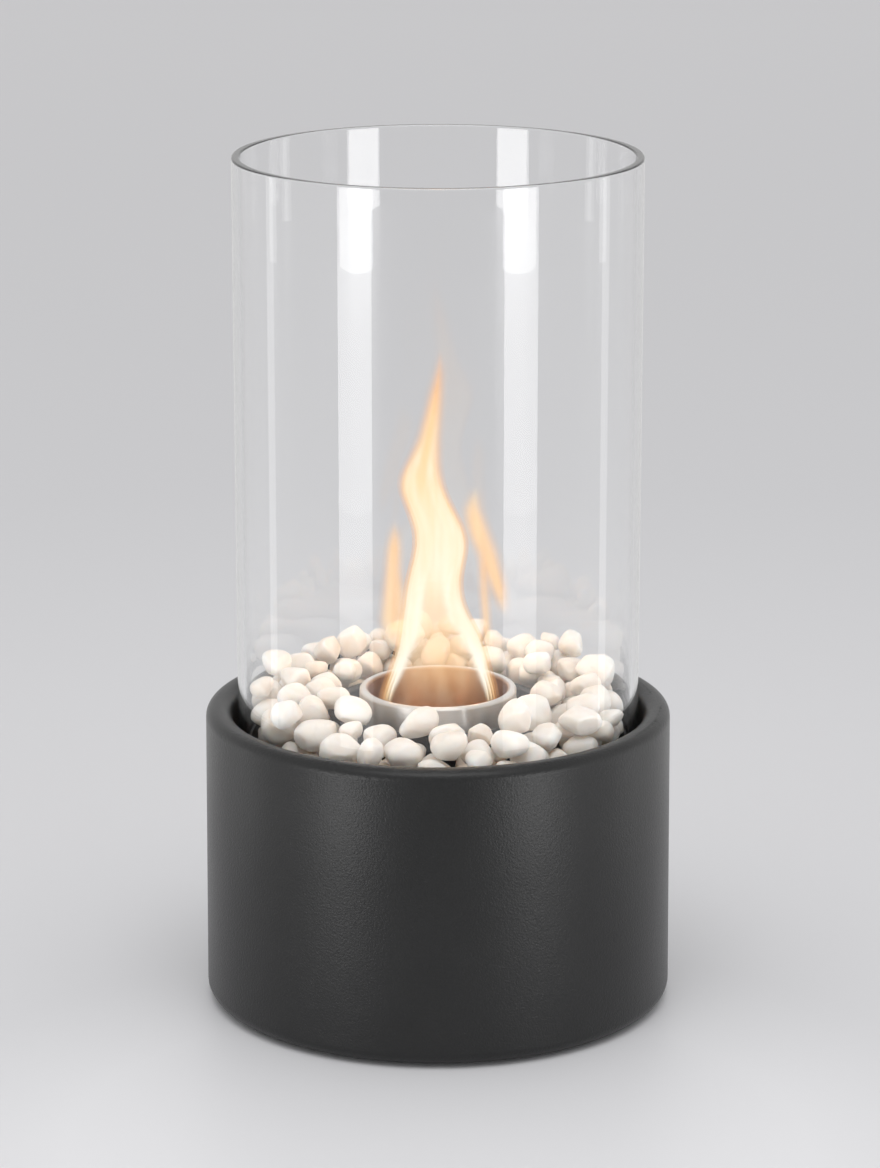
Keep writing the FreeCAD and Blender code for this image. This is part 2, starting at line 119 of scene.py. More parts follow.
STRIP_DISTANCE = 1.6
STRIP_FOOT = -0.6
STRIP_TOP = 0.35
STRIP_TURN = 46
STRIP_WIDTH = 0.56
STRIP_GLOWS = (  # each panel's upper end and its glow
    (STRIP_TOP, 3.8), (-0.18, 3.2), (-0.22, 2.6), (-0.26, 2.0), (-0.30, 1.4), (-0.42, 5.2), (STRIP_FOOT, 0.0),
)
RIM_TURN = 105
RIM_WIDTH = 0.18
RIM_GLOW = 1.0
OVERHEAD_PLACE = (0, -0.8, 1.6)
OVERHEAD_WIDTH = 1.2
OVERHEAD_DEPTH = 1.0
OVERHEAD_GLOW = 1.65
for side, word in ((-1, "left"), (1, "right")):
    for (top, glow), (foot, _) in zip(STRIP_GLOWS, STRIP_GLOWS[1:]):
        strip_lamp("strip_" + word, side * STRIP_TURN, STRIP_WIDTH, foot, top, glow)
    strip_lamp("rim_" + word, side * RIM_TURN, RIM_WIDTH, STRIP_FOOT, STRIP_TOP, RIM_GLOW)
soft_lamp("overhead", Vector(OVERHEAD_PLACE), (0, 0, 0), OVERHEAD_WIDTH, OVERHEAD_DEPTH, OVERHEAD_GLOW)

scene.view_settings.view_transform = "Standard"
scene.cycles.transparent_max_bounces = 48
scene.cycles.transmission_bounces = 16
scene.cycles.diffuse_bounces = 10
scene.cycles.max_bounces = 20

# %% [markdown]
# ## Tools for the finishes
# Every finish below is a small tree of nodes. One helper puts a node in a tree and wires it: a socket
# handed to it becomes a link, anything else becomes the input's value.

# %% Node helpers
def feed(tree, made, inputs):
    """Sets a node's inputs, by name or as s and a number: a socket is linked, anything else is a value."""
    for key, value in inputs.items():
        socket = made.inputs[int(key[1:]) if key[1:].isdigit() else key.replace("_", " ")]
        if isinstance(value, bpy.types.NodeSocket):
            tree.links.new(value, socket)
        else:
            socket.default_value = value


def put(tree, kind, settings=None, **inputs):
    """One node: settings are its properties, inputs its sockets."""
    made = tree.nodes.new(kind)
    for key, value in (settings or {}).items():
        setattr(made, key, value)
    feed(tree, made, inputs)
    return made


def sums(tree, operation, first, second=0.0, third=0.0):
    return put(tree, "ShaderNodeMath", {"operation": operation}, s0=first, s1=second, s2=third).outputs[0]


def span(tree, value, low, high):
    """A value of 0 to 1 stretched to run from low to high."""
    return put(tree, "ShaderNodeMapRange", None, Value=value, To_Min=low, To_Max=high).outputs[0]


def eased_share(tree, value, low, high):
    """0 below low, 1 above high, and a smooth rise between them."""
    settings = {"interpolation_type": "SMOOTHSTEP"}
    return put(tree, "ShaderNodeMapRange", settings, Value=value, From_Min=low, From_Max=high).outputs[0]


def set_ramp(ramp, tones):
    """Fills a colour ramp from pairs of position and colour."""
    stops = ramp.color_ramp.elements
    while len(stops) < len(tones):
        stops.new(0.5)
    for stop, (position, colour) in zip(stops, tones):
        stop.position = position
        stop.color = colour


def blend_colour(tree, share, first, second):
    mixed = put(tree, "ShaderNodeMix", {"data_type": "RGBA"}, s0=share, s6=first, s7=second)
    return mixed.outputs[2]


def open_group(name, inputs, outputs):
    tree = bpy.data.node_groups.new(name, "ShaderNodeTree")
    for label, kind, value in inputs:
        socket = tree.interface.new_socket(label, in_out="INPUT", socket_type=kind)
        if value is not None:
            socket.default_value = value
    for label in outputs:
        tree.interface.new_socket(label, in_out="OUTPUT", socket_type="NodeSocketFloat")
    return tree, tree.nodes.new("NodeGroupInput").outputs, tree.nodes.new("NodeGroupOutput").inputs


def open_finish(name):
    """A new material: its tree, its surface shader, and the place on the object."""
    material = bpy.data.materials.new(name)
    material.use_nodes = True
    tree = material.node_tree
    place = put(tree, "ShaderNodeTexCoord").outputs["Object"]
    return material, tree, tree.nodes["Principled BSDF"], place


def use_group(tree, group, **inputs):
    made = tree.nodes.new("ShaderNodeGroup")
    made.node_tree = group
    feed(tree, made, inputs)
    return made.outputs


def raise_surface(tree, shader, height, strength, depth):
    bump = put(tree, "ShaderNodeBump", None, Height=height, Strength=strength, Distance=depth)
    tree.links.new(bump.outputs[0], shader.inputs["Normal"])


# %% [markdown]
# ## Sky
# A pale sky fills the shadows. The room behind the camera is darker, as a studio is, so that the tube's
# front doesn't fog over with a mirror image of it; the walls at the sides are a little brighter.

# %% Sky
SKY_BRIGHT = (0.8, 0.797, 0.797, 1)
SKY_DIM = (0.5, 0.5, 0.505, 1)
SKY_SIDE = (1.0, 0.997, 0.997, 1)
CAMERA_SIDE = (0, -1, 0)
DIM_STARTS, DIM_FULL = 0.55, 0.95
SIDE_STARTS, SIDE_FULL = 0.75, 0.95
sky = bpy.data.worlds.new("studio_sky")
sky.use_nodes = True
sky_tree = sky.node_tree
sky_way = put(sky_tree, "ShaderNodeTexCoord").outputs["Generated"]
sky_towards = put(
    sky_tree, "ShaderNodeVectorMath", {"operation": "DOT_PRODUCT"}, s0=sky_way, s1=CAMERA_SIDE,
).outputs["Value"]
sky_share = eased_share(sky_tree, sky_towards, DIM_STARTS, DIM_FULL)
sky_apart = put(sky_tree, "ShaderNodeSeparateXYZ", None, Vector=sky_way).outputs
sky_across = sums(sky_tree, "ABSOLUTE", sky_apart[0])
sky_side_share = eased_share(sky_tree, sky_across, SIDE_STARTS, SIDE_FULL)
sky_colour = blend_colour(sky_tree, sky_share, SKY_BRIGHT, SKY_DIM)
sky_light = sky_tree.nodes["Background"]
sky_tree.links.new(blend_colour(sky_tree, sky_side_share, sky_colour, SKY_SIDE), sky_light.inputs["Color"])
scene.world = sky
print("sky", sky.name)

# %% [markdown]
# ## Grain shared by the coated and moulded parts
# Powder coat, baked enamel, rubber and board all have a fine pebbly skin over slow, cloudy changes of
# tone. A photograph of grain would tile; a noise does not, and one group with a grain size serves all of
# them. It gives the height of the grain, a speckle for roughness, and a slow cloud for colour.

# %% Grain group
CELLS_SHARE = 0.8  # how many cells there are for each grain
CELL_SINK = -0.6
CLOUDS_PER_METRE = 38.0
grain_group, grain_in, grain_out = open_group(
    "skin_grain",
    (("Place", "NodeSocketVector", None), ("Grain Per Metre", "NodeSocketFloat", 1400.0)),
    ("Height", "Speckle", "Cloud"),
)
grain_noise = put(
    grain_group, "ShaderNodeTexNoise", None,
    Vector=grain_in["Place"], Scale=grain_in["Grain Per Metre"], Detail=2.5, Roughness=0.55, Distortion=0.6,
)
grain_cells = put(
    grain_group, "ShaderNodeTexVoronoi", {"feature": "SMOOTH_F1"},
    Vector=grain_in["Place"], Smoothness=0.8,
    Scale=sums(grain_group, "MULTIPLY", grain_in["Grain Per Metre"], CELLS_SHARE),
)
grain_cloud = put(
    grain_group, "ShaderNodeTexNoise", None,
    Vector=grain_in["Place"], Scale=CLOUDS_PER_METRE, Detail=3.0, Roughness=0.6,
)
grain_height = sums(
    grain_group, "MULTIPLY_ADD", grain_cells.outputs["Distance"], CELL_SINK, grain_noise.outputs[0],
)
grain_group.links.new(grain_height, grain_out["Height"])
grain_group.links.new(grain_noise.outputs[0], grain_out["Speckle"])
grain_group.links.new(grain_cloud.outputs[0], grain_out["Cloud"])
print("group", grain_group.name)

# %% [markdown]
# ## Turning marks shared by the metals
# Spun and turned steel carries fine lines that run round its axis. They could be drawn with a wave
# texture, but a wave repeats; a noise stretched along the turning direction does not. The group measures
# the distance from the axis and the height, and lets the noise change fast across them and slowly along.

# %% Turning marks group
MARKS_ROUND = 1.3  # how often a line changes on its way round
PATCHES_PER_METRE = 70.0
turning_group, turning_in, turning_out = open_group(
    "turning_marks",
    (("Place", "NodeSocketVector", None), ("Lines Per Metre", "NodeSocketFloat", 3000.0)),
    ("Line", "Patch", "Radius"),
)
apart = put(turning_group, "ShaderNodeSeparateXYZ", None, Vector=turning_in["Place"]).outputs
flat_place = put(turning_group, "ShaderNodeCombineXYZ", None, X=apart[0], Y=apart[1]).outputs[0]
radius = put(turning_group, "ShaderNodeVectorMath", {"operation": "LENGTH"}, s0=flat_place).outputs["Value"]
bearing = put(turning_group, "ShaderNodeVectorMath", {"operation": "NORMALIZE"}, s0=flat_place).outputs[0]
bearing_apart = put(turning_group, "ShaderNodeSeparateXYZ", None, Vector=bearing).outputs
outwards_and_up = sums(turning_group, "ADD", radius, apart[2])
across = sums(turning_group, "MULTIPLY", outwards_and_up, turning_in["Lines Per Metre"])
stretched = put(
    turning_group, "ShaderNodeCombineXYZ", None,
    X=across,
    Y=sums(turning_group, "MULTIPLY", bearing_apart[0], MARKS_ROUND),
    Z=sums(turning_group, "MULTIPLY", bearing_apart[1], MARKS_ROUND),
).outputs[0]
turning_noise = put(
    turning_group, "ShaderNodeTexNoise", None, Vector=stretched, Scale=1.0, Detail=3.0, Roughness=0.7,
)
turning_patch = put(
    turning_group, "ShaderNodeTexNoise", None,
    Vector=turning_in["Place"], Scale=PATCHES_PER_METRE, Detail=3.0,
)
turning_group.links.new(turning_noise.outputs[0], turning_out["Line"])
turning_group.links.new(turning_patch.outputs[0], turning_out["Patch"])
turning_group.links.new(radius, turning_out["Radius"])
print("group", turning_group.name)

# %% [markdown]
# ## Coated and moulded finishes
# The drum is dark grey powder coat with a soft sheen and a grain of less than a millimetre. The hidden
# sheet metal is black baked enamel, the feet and the seat's gasket are rubber, the pad under the well is
# pressed heat board. All of them are the same recipe with other numbers, so one function writes them.

# %% Coated finishes
FINE_SHARE = 0.6
BROAD_SHARE = 0.4


def weighed(tree, fine, broad):
    """A tone made of a fine pattern and a broad one."""
    return sums(tree, "MULTIPLY_ADD", fine, FINE_SHARE, sums(tree, "MULTIPLY", broad, BROAD_SHARE))


def coated(name, dark, light, grain_per_metre, rough_low, rough_high, bump, depth, sheen=0.5):
    material, tree, shader, place = open_finish(name)
    grain = use_group(tree, grain_group, Place=place, Grain_Per_Metre=grain_per_metre)
    tone = weighed(tree, grain["Speckle"], grain["Cloud"])
    tree.links.new(blend_colour(tree, tone, dark, light), shader.inputs["Base Color"])
    tree.links.new(span(tree, grain["Speckle"], rough_low, rough_high), shader.inputs["Roughness"])
    raise_surface(tree, shader, grain["Height"], bump, depth)
    shader.inputs["Specular IOR Level"].default_value = sheen
    return material


shell_coat = coated(
    "shell_coat", (0.003, 0.0031, 0.0032, 1), (0.017, 0.0172, 0.0175, 1),
    grain_per_metre=1500.0, rough_low=0.27, rough_high=0.42, bump=0.7, depth=0.13 * MM, sheen=0.38,
)
black_steel = coated(
    "black_steel", (0.030, 0.030, 0.031, 1), (0.055, 0.055, 0.056, 1),
    grain_per_metre=2400.0, rough_low=0.32, rough_high=0.46, bump=0.1, depth=0.05 * MM,
)
foot_rubber = coated(
    "foot_rubber", (0.013, 0.013, 0.013, 1), (0.026, 0.026, 0.026, 1),
    grain_per_metre=1800.0, rough_low=0.65, rough_high=0.85, bump=0.4, depth=0.1 * MM, sheen=0.35,
)
gasket_rubber = coated(
    "gasket_rubber", (0.016, 0.016, 0.017, 1), (0.030, 0.030, 0.031, 1),
    grain_per_metre=2200.0, rough_low=0.55, rough_high=0.75, bump=0.3, depth=0.08 * MM, sheen=0.4,
)
heat_board = coated(
    "heat_board", (0.50, 0.48, 0.44, 1), (0.66, 0.64, 0.60, 1),
    grain_per_metre=900.0, rough_low=0.8, rough_high=0.95, bump=0.5, depth=0.2 * MM, sheen=0.3,
)
ceramic_wool = coated(
    "ceramic_wool", (0.62, 0.60, 0.56, 1), (0.82, 0.80, 0.76, 1),
    grain_per_metre=700.0, rough_low=0.85, rough_high=1.0, bump=0.8, depth=0.5 * MM, sheen=0.2,
)
print("coated finishes:", shell_coat.name, black_steel.name, foot_rubber.name, heat_board.name)

# %% [markdown]
# ## Metal finishes
# The burner's sleeve is satin stainless steel with turning marks round it; the screws and the grille's
# clip are zinc plated and duller. Colour, roughness and height all follow the same turning marks, as they
# do on the real thing, where a deeper line is also a darker and rougher one. Lines round the axis smear a
# reflection up and down, so the gloss is wider that way. Inside the sleeve the steel is painted brown:
# partly the fire's heat tint, partly painted firelight, the flame's warm glow on the steel.

# %% Metal finishes
# painted firelight and heat tint: the brown painted on the steel inside the sleeve
FIRE_GLOW_AND_HEAT_TINT = (0.52, 0.25, 0.10, 1)
TINT_STARTS = 27.4 * MM
TINT_FULL = 26.2 * MM
TINT_FAINT, TINT_STRONG = 0.5, 1.4
MARK_DEPTH = 0.03 * MM


def turned_metal(name, dark, light, lines_per_metre, rough_low, rough_high, bump, tint):
    material, tree, shader, place = open_finish(name)
    marks = use_group(tree, turning_group, Place=place, Lines_Per_Metre=lines_per_metre)
    tone = weighed(tree, marks["Line"], marks["Patch"])
    colour = blend_colour(tree, tone, dark, light)
    # painted firelight and heat tint: inside the sleeve the steel is painted brown, partly for the flame's
    # warm glow on it
    if tint:
        inside = put(
            tree, "ShaderNodeMapRange", None,
            Value=marks["Radius"], From_Min=TINT_STARTS, From_Max=TINT_FULL, To_Min=0.0, To_Max=tint,
        ).outputs[0]
        patchy = span(tree, marks["Patch"], TINT_FAINT, TINT_STRONG)
        colour = blend_colour(tree, sums(tree, "MULTIPLY", inside, patchy), colour, FIRE_GLOW_AND_HEAT_TINT)
    tree.links.new(colour, shader.inputs["Base Color"])
    tree.links.new(span(tree, tone, rough_high, rough_low), shader.inputs["Roughness"])
    raise_surface(tree, shader, marks["Line"], bump, MARK_DEPTH)
    shader.inputs["Metallic"].default_value = 1.0
    shader.inputs["Anisotropic"].default_value = 1.0
    shader.inputs["Anisotropic Rotation"].default_value = 0.25
    lay = put(tree, "ShaderNodeTangent", {"direction_type": "RADIAL", "axis": "Z"})
    tree.links.new(lay.outputs[0], shader.inputs["Tangent"])
    return material


stainless = turned_metal(
    "stainless", (0.82, 0.76, 0.70, 1), (1.0, 0.98, 0.95, 1),
    lines_per_metre=1500.0, rough_low=0.30, rough_high=0.48, bump=0.5, tint=0.95,
)
zinc_steel = turned_metal(
    "zinc_steel", (0.46, 0.47, 0.48, 1), (0.66, 0.67, 0.68, 1),
    lines_per_metre=1800.0, rough_low=0.28, rough_high=0.5, bump=0.25, tint=0.0,
)
print("metal finishes:", stainless.name, zinc_steel.name)

# %% [markdown]
# ## Glass
# The tube is heat-resisting glass: clear across the wall, faintly green where the eye looks along it. A
# plain transmission shader bends light as the real wall does, and an absorbing volume gives the green
# only where the path is long. Lamps would take thousands of samples to find their way through the wall,
# so shadow rays pass straight through. Faint wiping haze changes the gloss a little from place to place.

# %% Glass finish
GLASS_BENDING = 1.48
GLASS_GREEN = (0.84, 0.92, 0.87, 1)
GLASS_GREEN_PER_METRE = 3.0
GLASS_SHADOW = (0.97, 0.97, 0.97, 1)
HAZE_PER_METRE = 24.0
HAZE_ROUGHEST = 0.012
clear_glass, glass_tree, glass_shader, glass_place = open_finish("clear_glass")
glass_shader.inputs["Base Color"].default_value = (1.0, 1.0, 1.0, 1)
glass_shader.inputs["Transmission Weight"].default_value = 1.0
glass_shader.inputs["IOR"].default_value = GLASS_BENDING
glass_haze = put(glass_tree, "ShaderNodeTexNoise", None, Vector=glass_place, Scale=HAZE_PER_METRE, Detail=3.0)
glass_gloss = span(glass_tree, glass_haze.outputs[0], 0.0, HAZE_ROUGHEST)
glass_tree.links.new(glass_gloss, glass_shader.inputs["Roughness"])
glass_through = put(glass_tree, "ShaderNodeBsdfTransparent", None, Color=GLASS_SHADOW)
glass_rays = put(glass_tree, "ShaderNodeLightPath")
glass_mix = put(
    glass_tree, "ShaderNodeMixShader", None,
    Fac=glass_rays.outputs["Is Shadow Ray"], s1=glass_shader.outputs[0], s2=glass_through.outputs[0],
)
glass_depth = put(
    glass_tree, "ShaderNodeVolumeAbsorption", None, Color=GLASS_GREEN, Density=GLASS_GREEN_PER_METRE,
)
glass_end = glass_tree.nodes["Material Output"]
glass_tree.links.new(glass_mix.outputs[0], glass_end.inputs["Surface"])
glass_tree.links.new(glass_depth.outputs[0], glass_end.inputs["Volume"])
print("glass", clear_glass.name)

# %% [markdown]
# ## Hand the finishes to the solids
# The solids whose shapes are right stay as they are and only take a finish. A table from finish to nodes
# keeps it plain which piece is made of what.

# %% Finishes on the solids
FINISHES = {
    shell_coat: ("base_shell",),
    black_steel: (
        "bottom_plate", "bracket_1", "bracket_2", "bracket_3", "bracket_4", "seat_ring", "pebble_tray",
        "burner_well",
    ),
    zinc_steel: ("plate_screws", "tray_screws", "grille_clip"),
    foot_rubber: ("foot_1", "foot_2", "foot_3", "foot_4"),
    gasket_rubber: ("glass_gasket",),
    heat_board: ("well_pad",),
    ceramic_wool: ("wick_pad",),
    stainless: ("burner_sleeve", "burner_floor", "fuel_cup", "wick_grille"),
}
for finish, names in FINISHES.items():
    for name in names:
        solids[name].material_slots[0].material = finish
print("dressed", sum(len(names) for names in FINISHES.values()), "nodes")

# %% [markdown]
# ## Glass tube
# A sharp eye finds the triangles in a solid's tiny rounds, and clear glass shows every one as a dark dash.
# So the tube is made anew: a Geometry Nodes tree sweeps the wall's section round a circle with even steps.
# The section has a point close beside each round, which keeps the long walls' shading straight.

# %% Glass tube
TUBE_WALL = 3 * MM
TUBE_ROUND = 0.7 * MM
TUBE_SIDES = 360
ROUND_STEPS = 8
BESIDE_ROUND = 0.1 * MM


def open_tree(name, inputs):
    """A Geometry Nodes tree with named inputs: the tree and what it is given."""
    tree = bpy.data.node_groups.new(name, "GeometryNodeTree")
    for label, kind in (("Geometry", "NodeSocketGeometry"), *inputs):
        tree.interface.new_socket(label, in_out="INPUT", socket_type=kind)
    tree.interface.new_socket("Geometry", in_out="OUTPUT", socket_type="NodeSocketGeometry")
    return tree, tree.nodes.new("NodeGroupInput").outputs


def close_tree(tree, shape, finish):
    """Ends a tree: the shape is shaded smooth, made real and given its finish."""
    smooth = put(tree, "GeometryNodeSetShadeSmooth", None, Geometry=shape).outputs[0]
    real = put(tree, "GeometryNodeRealizeInstances", None, Geometry=smooth).outputs[0]
    done = put(tree, "GeometryNodeSetMaterial", None, Geometry=real, Material=finish).outputs[0]
    tree.links.new(done, tree.nodes.new("NodeGroupOutput").inputs[0])
    return tree


def settle_nodes(piece, tree, **values):
    """Runs a tree on a piece and leaves a plain mesh, with no modifier."""
    modifier = piece.modifiers.new(tree.name, "NODES")
    modifier.node_group = tree
    inputs = [item for item in tree.interface.items_tree if item.in_out == "INPUT"]
    sockets = {item.name: item.identifier for item in inputs}
    for label, value in values.items():
        modifier[sockets[label.replace("_", " ")]] = value
    shown = piece.evaluated_get(bpy.context.evaluated_depsgraph_get())
    mesh = bpy.data.meshes.new_from_object(shown)
    piece.modifiers.clear()
    piece.data = mesh


def wall_section(wall, foot, top):
    """The wall's closed outline: across it from the outer face, and down, since the sweep turns it over."""
    points = []
    corners = ((0, foot), (0, top), (-wall, top), (-wall, foot))
    for number, (across, height) in enumerate(corners):
        inwards = TUBE_ROUND if across else -TUBE_ROUND
        upwards = TUBE_ROUND if height == foot else -TUBE_ROUND
        middle = np.array((across + inwards, height + upwards))
        turns = np.radians(90 * (number - 1) + np.linspace(0, 90, ROUND_STEPS + 1))
        arc = middle + TUBE_ROUND * np.stack((np.cos(turns), np.sin(turns)), axis=1)
        before = np.array((np.sin(turns[0]), -np.cos(turns[0])))
        after = np.array((-np.sin(turns[-1]), np.cos(turns[-1])))
        points.extend((arc[0] + BESIDE_ROUND * before, *arc, arc[-1] + BESIDE_ROUND * after))
    count = len(points)
    edges = [(number, (number + 1) % count) for number in range(count)]
    mesh = bpy.data.meshes.new("glass_tube")
    mesh.from_pydata([(x, -y, 0) for x, y in points], edges, [])
    return mesh


def sweep_tree():
    tree, given = open_tree("round_sweep", (("Radius", "NodeSocketFloat"), ("Sides", "NodeSocketInt")))
    section = put(tree, "GeometryNodeMeshToCurve", None, Mesh=given["Geometry"]).outputs[0]
    path = put(
        tree, "GeometryNodeCurvePrimitiveCircle", {"mode": "RADIUS"},
        Resolution=given["Sides"], Radius=given["Radius"],
    ).outputs[0]
    swept = put(tree, "GeometryNodeCurveToMesh", None, Curve=path, Profile_Curve=section).outputs[0]
    outwards = put(tree, "GeometryNodeFlipFaces", None, Mesh=swept).outputs[0]
    return close_tree(tree, outwards, clear_glass)


tube_low, tube_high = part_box("glass_cylinder")
tube = bpy.data.objects.new("glass_tube", wall_section(TUBE_WALL, tube_low[2], tube_high[2]))
scene.collection.objects.link(tube)
settle_nodes(tube, sweep_tree(), Radius=float(tube_high[0]), Sides=TUBE_SIDES)
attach(tube, "glass")
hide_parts("glass_cylinder")
print(tube.name, len(tube.data.polygons), "faces")

# %% [markdown]
# ## Pebbles: a light mesh for each stone
# The solids' stones are smooth and already lie where they fell, but each comes as thousands of thin
# triangles. Decimating would leave an uneven mesh, so a ball with even triangles is shrunk on to every
# stone instead: a ray from the stone's middle through each point of the ball finds its place. Tumbled marble
# keeps blunt flats from the break, so a few random flats are then rubbed on each stone, inwards only.

# %% Stones from the solids
MERGE_DISTANCE = 0.001 * MM
BALL_SPLITS = 4
STONE_SEED = 4
FLATS_PER_STONE = 6
FLAT_REACH = (0.82, 0.97)
FLAT_EDGE = 0.4 * MM
STONE_NODES = ("pebbles_lower", "pebbles_middle", "pebbles_upper")


def stones_of(solid):
    """The separate stones of a node, each as its points and its triangles, in the same order each time."""
    work = bmesh.new()
    work.from_mesh(solid.data)
    bmesh.ops.remove_doubles(work, verts=work.verts, dist=MERGE_DISTANCE)
    work.verts.ensure_lookup_table()
    seen = set()
    for start in work.verts:
        if start.index in seen:
            continue
        order, waiting = {start: 0}, [start]
        while waiting:
            for edge in waiting.pop().link_edges:
                for vert in edge.verts:
                    if vert not in order:
                        order[vert] = len(order)
                        waiting.append(vert)
        seen.update(vert.index for vert in order)
        faces = dict.fromkeys(face for vert in order for face in vert.link_faces)
        corners = [[order[vert] for vert in face.verts] for face in faces]
        yield [vert.co.copy() for vert in order], corners
    work.free()


def ball_mesh():
    work = bmesh.new()
    bmesh.ops.create_icosphere(work, subdivisions=BALL_SPLITS, radius=1.0)
    points = [vert.co.copy() for vert in work.verts]
    faces = [[vert.index for vert in face.verts] for face in work.faces]
    work.free()
    return points, faces


def worn_flat(points, draw):
    """Rubs a few flats on a stone: points beyond a flat sink to it, with a soft edge."""
    for _ in range(FLATS_PER_STONE):
        way = draw.normal(size=3)
        way /= np.linalg.norm(way)
        reach = points @ way
        flat = reach.max() * draw.uniform(*FLAT_REACH)
        over = reach - flat
        eased_edge = over - (over + FLAT_EDGE) ** 2 / (4 * FLAT_EDGE)
        sunk = np.where(over < FLAT_EDGE, np.where(over > -FLAT_EDGE, eased_edge, over), 0)
        points = points + np.outer(sunk - over, way)
    return points


def light_stones(name, draw):
    ball_points, ball_faces = ball_mesh()
    points, faces = [], []
    for stone_points, stone_faces in stones_of(solids[name]):
        middle = sum(stone_points, Vector()) / len(stone_points)
        skin = BVHTree.FromPolygons(stone_points, stone_faces)
        first = len(points)
        shape = np.array([skin.ray_cast(middle, way)[0] - middle for way in ball_points])
        points.extend((worn_flat(shape, draw) + np.array(middle)).tolist())
        faces.extend([first + corner for corner in face] for face in ball_faces)
    mesh = bpy.data.meshes.new("stones_" + name)
    mesh.from_pydata(points, [], faces)
    stones = bpy.data.objects.new("stones_" + name, mesh)
    scene.collection.objects.link(stones)
    print(stones.name, len(points) // len(ball_points), "stones,", len(faces), "triangles")
    return stones


stone_draw = np.random.default_rng(STONE_SEED)
stone_sets = {name: light_stones(name, stone_draw) for name in STONE_NODES}

# %% [markdown]
# ## Pebbles: wear and tone
# River pebbles are rounded, but no two alike: each has shallow hollows where it broke and a tone of its
# own. Moving points by hand would take a day. A small Geometry Nodes tree gives every separate stone a
# random number, dents its skin inwards with a noise that starts elsewhere on each stone, and keeps the
# number for the finish to read. Dents only go inwards, so stones never grow into each other.

# %% Stone finish
STONE_TONE = "stone_tone"
TONE_SHIFT = (0.7, 0.3, 0.5)
STONE_CLOUDS_PER_METRE = 95.0
STONE_VEINS_PER_METRE = 320.0
STONE_GRAIN_PER_METRE = 1900.0
STONE_WHITES = ((0.82, 0.775, 0.72, 1), (0.87, 0.845, 0.81, 1))
STONE_WARMS = ((0.77, 0.66, 0.55, 1), (0.83, 0.75, 0.67, 1))
STONE_VEIN = (0.62, 0.585, 0.54, 1)
STONE_GRAIN_DEPTH = 0.06 * MM
STONE_GLOW_DEPTH = 3 * MM  # how far light wanders under the skin
pebble_stone, stone_tree, stone_shader, stone_place = open_finish("pebble_stone")
stone_number = put(stone_tree, "ShaderNodeAttribute", {"attribute_name": STONE_TONE}).outputs["Fac"]
stone_shift = put(
    stone_tree, "ShaderNodeVectorMath", {"operation": "MULTIPLY_ADD"},
    s0=stone_number, s1=TONE_SHIFT, s2=stone_place,
).outputs[0]
stone_clouds = put(
    stone_tree, "ShaderNodeTexNoise", None,
    Vector=stone_shift, Scale=STONE_CLOUDS_PER_METRE, Detail=4.0, Roughness=0.55, Distortion=0.8,
).outputs[0]
stone_veins = put(
    stone_tree, "ShaderNodeTexNoise", None,
    Vector=stone_shift, Scale=STONE_VEINS_PER_METRE, Detail=5.0, Roughness=0.6, Distortion=0.4,
).outputs[0]
stone_skin = use_group(stone_tree, grain_group, Place=stone_shift, Grain_Per_Metre=STONE_GRAIN_PER_METRE)
stone_white = blend_colour(stone_tree, stone_number, *STONE_WHITES)
stone_warm = blend_colour(stone_tree, stone_number, *STONE_WARMS)
stone_share = put(
    stone_tree, "ShaderNodeMapRange", None,
    Value=stone_clouds, From_Min=0.42, From_Max=0.72, To_Min=0.0, To_Max=0.75,
).outputs[0]
stone_colour = blend_colour(stone_tree, stone_share, stone_white, stone_warm)
stone_fleck = put(
    stone_tree, "ShaderNodeMapRange", None,
    Value=stone_veins, From_Min=0.58, From_Max=0.75, To_Min=0.0, To_Max=0.3,
).outputs[0]
stone_colour = blend_colour(stone_tree, stone_fleck, stone_colour, STONE_VEIN)
stone_tree.links.new(stone_colour, stone_shader.inputs["Base Color"])
stone_gloss = span(stone_tree, stone_skin["Speckle"], 0.5, 0.75)
stone_tree.links.new(stone_gloss, stone_shader.inputs["Roughness"])
raise_surface(stone_tree, stone_shader, stone_skin["Height"], 0.12, STONE_GRAIN_DEPTH)
stone_shader.inputs["Specular IOR Level"].default_value = 0.2
stone_shader.inputs["Subsurface Weight"].default_value = 0.9
stone_shader.inputs["Subsurface Radius"].default_value = (1.0, 0.85, 0.7)
stone_shader.inputs["Subsurface Scale"].default_value = STONE_GLOW_DEPTH
print("stone finish", pebble_stone.name)

# %% [markdown]
# ## Pebbles: the wear tree
# The tree that dents the stones is built once and run on each of the three sets, with a seed of its own.

# %% Stone wear tree
DENT_SHIFT = (3.0, 5.0, 7.0)


def wear_tree():
    tree, given = open_tree("stone_wear", (
        ("Dent Depth", "NodeSocketFloat"), ("Dents Per Metre", "NodeSocketFloat"), ("Seed", "NodeSocketInt"),
    ))
    island = put(tree, "GeometryNodeInputMeshIsland").outputs["Island Index"]
    number = put(
        tree, "FunctionNodeRandomValue", {"data_type": "FLOAT"}, ID=island, Seed=given["Seed"],
    ).outputs[1]
    kept = put(
        tree, "GeometryNodeStoreNamedAttribute", {"data_type": "FLOAT", "domain": "POINT"},
        Geometry=given["Geometry"], Name=STONE_TONE, Value=number,
    ).outputs[0]
    shifted = put(
        tree, "ShaderNodeVectorMath", {"operation": "MULTIPLY_ADD"},
        s0=number, s1=DENT_SHIFT, s2=put(tree, "GeometryNodeInputPosition").outputs[0],
    ).outputs[0]
    dent = put(
        tree, "ShaderNodeTexNoise", None,
        Vector=shifted, Scale=given["Dents Per Metre"], Detail=1.0, Roughness=0.4,
    ).outputs[0]
    depth = sums(tree, "MULTIPLY", dent, given["Dent Depth"])
    inwards = put(
        tree, "ShaderNodeVectorMath", {"operation": "SCALE"},
        s0=put(tree, "GeometryNodeInputNormal").outputs[0],
        Scale=sums(tree, "MULTIPLY", depth, -1.0),
    ).outputs[0]
    moved = put(tree, "GeometryNodeSetPosition", None, Geometry=kept, Offset=inwards).outputs[0]
    return close_tree(tree, moved, pebble_stone)


